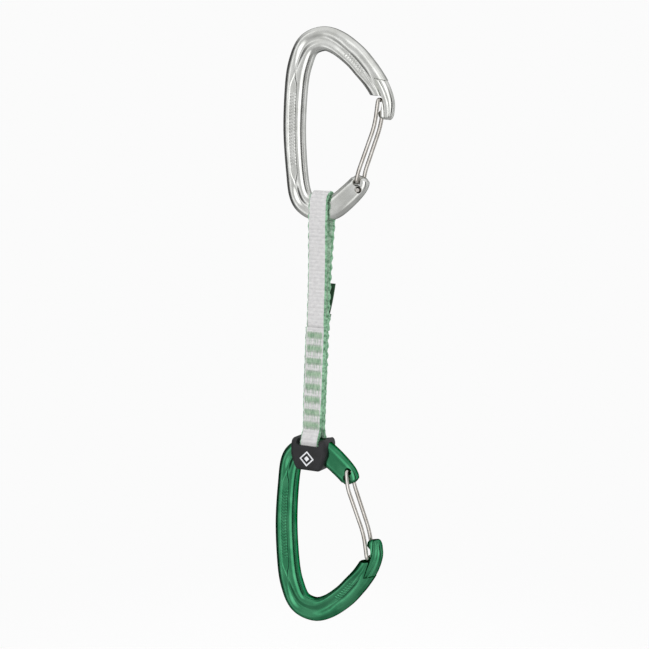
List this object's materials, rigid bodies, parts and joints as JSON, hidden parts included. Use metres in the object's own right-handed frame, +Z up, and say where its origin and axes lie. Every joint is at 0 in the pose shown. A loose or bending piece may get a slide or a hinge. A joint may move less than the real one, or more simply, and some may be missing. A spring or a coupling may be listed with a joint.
{
  "type": "climbing quickdraw",
  "caption": "Climbing quickdraw: two wiregate carabiners joined by a sewn webbing sling with a rubber keeper at the rope end.",
  "frame": {"origin": "inner apex of the upper carabiner's basket, where the quickdraw hangs from a bolt hanger", "axes": "+X towards the gate side, +Y to the back, +Z up; both carabiners lie in the X-Z plane"},
  "size_m": [0.0647, 0.0182, 0.3036],
  "materials": {
    "polished_aluminium": "polished",
    "green_aluminium": "green anodised, satin gloss",
    "stainless_wire": "drawn and polished",
    "white_webbing": "ribbed weave with green edges",
    "green_thread": "dense stitching",
    "green_label": "woven label",
    "black_rubber": "finely textured",
    "white_rubber": "smooth"
  },
  "bodies": {
    "upper_carabiner": {"upper_carabiner_body": "polished_aluminium", "webbing_upper_loop": "white_webbing"},
    "upper_gate": {"upper_gate_wire": "stainless_wire"},
    "sling_strands": {"webbing_front_strand": "white_webbing", "webbing_back_strand": "white_webbing"},
    "sewn_sling": {"webbing_sewn_stretch": "white_webbing", "label_tag": "green_label", "bar_tack_1": "green_thread", "bar_tack_2": "green_thread", "bar_tack_3": "green_thread", "bar_tack_4": "green_thread", "bar_tack_5": "green_thread", "bar_tack_6": "green_thread", "bar_tack_7": "green_thread", "bar_tack_8": "green_thread"},
    "lower_carabiner": {"lower_carabiner_body": "green_aluminium", "webbing_lower_loop": "white_webbing", "rubber_keeper": "black_rubber", "keeper_emblem": "white_rubber"},
    "lower_gate": {"lower_gate_wire": "stainless_wire"}
  },
  "joints": [
    {"name": "upper_gate_hinge", "type": "hinge", "parent": "upper_carabiner", "child": "upper_gate", "pos_m": [0.0196, 0, -0.0669], "axis": [0, -1, 0], "range_deg": [0, 30], "stiffness_Nm_per_rad": 0.2, "springref_deg": -8.59},
    {"name": "sling_swing", "type": "hinge", "parent": "upper_carabiner", "child": "sling_strands", "pos_m": [-0.00116, 0, -0.08929], "axis": [0.9991, 0, -0.0419], "range_deg": [-75, 75], "deforming": ["webbing_front_strand", "webbing_back_strand"]},
    {"name": "sling_twist", "type": "hinge", "parent": "sling_strands", "child": "sewn_sling", "pos_m": [-0.00237, 0, -0.11826], "axis": [0.0419, 0, 0.9991], "range_deg": [-90, 90], "stiffness_Nm_per_rad": 0.01},
    {"name": "rope_end_swing", "type": "hinge", "parent": "sewn_sling", "child": "lower_carabiner", "pos_m": [-0.0055, 0, -0.1928], "axis": [0.9991, 0, -0.0419], "range_deg": [-50, 50], "stiffness_Nm_per_rad": 0.02, "deforming": ["webbing_lower_loop"]},
    {"name": "lower_gate_hinge", "type": "hinge", "parent": "lower_carabiner", "child": "lower_gate", "pos_m": [0.01444, 0, -0.21289], "axis": [0, 1, 0], "range_deg": [0, 30], "stiffness_Nm_per_rad": 0.2, "springref_deg": -8.59}
  ]
}
